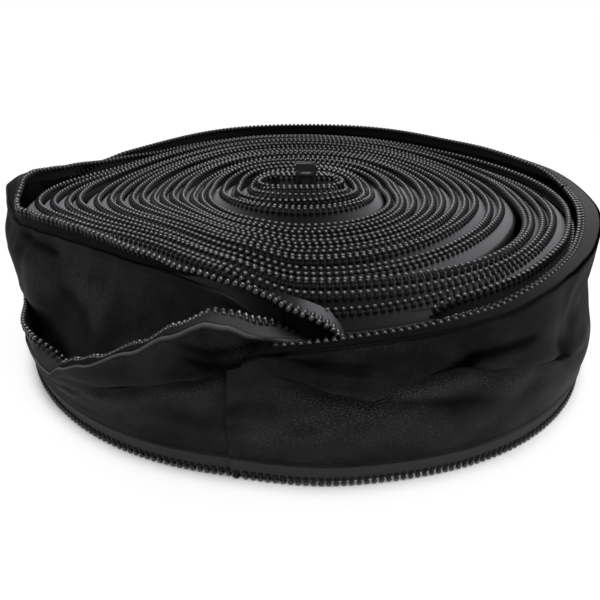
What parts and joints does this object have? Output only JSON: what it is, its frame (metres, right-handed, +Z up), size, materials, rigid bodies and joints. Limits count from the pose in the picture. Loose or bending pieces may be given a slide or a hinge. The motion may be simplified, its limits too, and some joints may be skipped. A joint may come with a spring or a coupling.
{
  "type": "zippered cable sleeve",
  "caption": "Roll of opened zippered cable sleeve: a long leather strip with zipper tape and moulded teeth along both edges, wound on edge with a loose outer end.",
  "frame": {"origin": "centre of the roll's outline on the floor it stands on", "axes": "+Z up along the axis of the roll, -Y towards the front where the outer end lies, +X to the right as seen from the front"},
  "size_m": [0.369, 0.3838, 0.1092],
  "materials": {
    "leather": "matt black split leather",
    "zipper_tape": "dark grey woven tape",
    "tooth_plastic": "moulded black plastic",
    "slider_metal": "black lacquer"
  },
  "bodies": {
    "roll": {"sleeve_panel_1": "leather", "sleeve_panel_2": "leather", "sleeve_panel_3": "leather", "sleeve_panel_4": "leather", "sleeve_panel_5": "leather", "sleeve_panel_6": "leather", "sleeve_panel_7": "leather", "sleeve_panel_8": "leather", "sleeve_panel_9": "leather", "end_panel": "leather", "upper_tape_inner_turns": "zipper_tape", "upper_tape_outer_turns": "zipper_tape", "lower_tape": "zipper_tape", "upper_teeth_inner_end": "tooth_plastic", "upper_teeth_inner_turns": "tooth_plastic", "upper_teeth_middle_turns": "tooth_plastic", "upper_teeth_outer_turn": "tooth_plastic", "lower_teeth_inner_end": "tooth_plastic", "lower_teeth_inner_turns": "tooth_plastic", "lower_teeth_outer_turn": "tooth_plastic", "inner_upper_stop": "tooth_plastic", "inner_lower_stop": "tooth_plastic"},
    "free_end": {"free_end_panel": "leather", "free_end_upper_tape": "zipper_tape", "free_end_lower_tape": "zipper_tape", "upper_teeth_free_end": "tooth_plastic", "lower_teeth_free_end": "tooth_plastic", "outer_upper_stop": "tooth_plastic", "outer_lower_stop": "tooth_plastic"},
    "slider": {"slider_body": "slider_metal"},
    "pull_tab": {"pull_tab": "slider_metal"}
  },
  "joints": [
    {"name": "free_end_peel", "type": "hinge", "parent": "roll", "child": "free_end", "pos_m": [0.0802, -0.1787, 0.05], "axis": [0, 0, 1], "range_deg": [0, 55]},
    {"name": "slider_travel", "type": "slide", "parent": "roll", "child": "slider", "axis": [-1, 0, 0], "range_m": [0, 0.01]},
    {"name": "pull_tab_swing", "type": "hinge", "parent": "slider", "child": "pull_tab", "pos_m": [0.004, 0.007, 0.1026], "axis": [-1, 0, 0], "range_deg": [0, 165]}
  ]
}
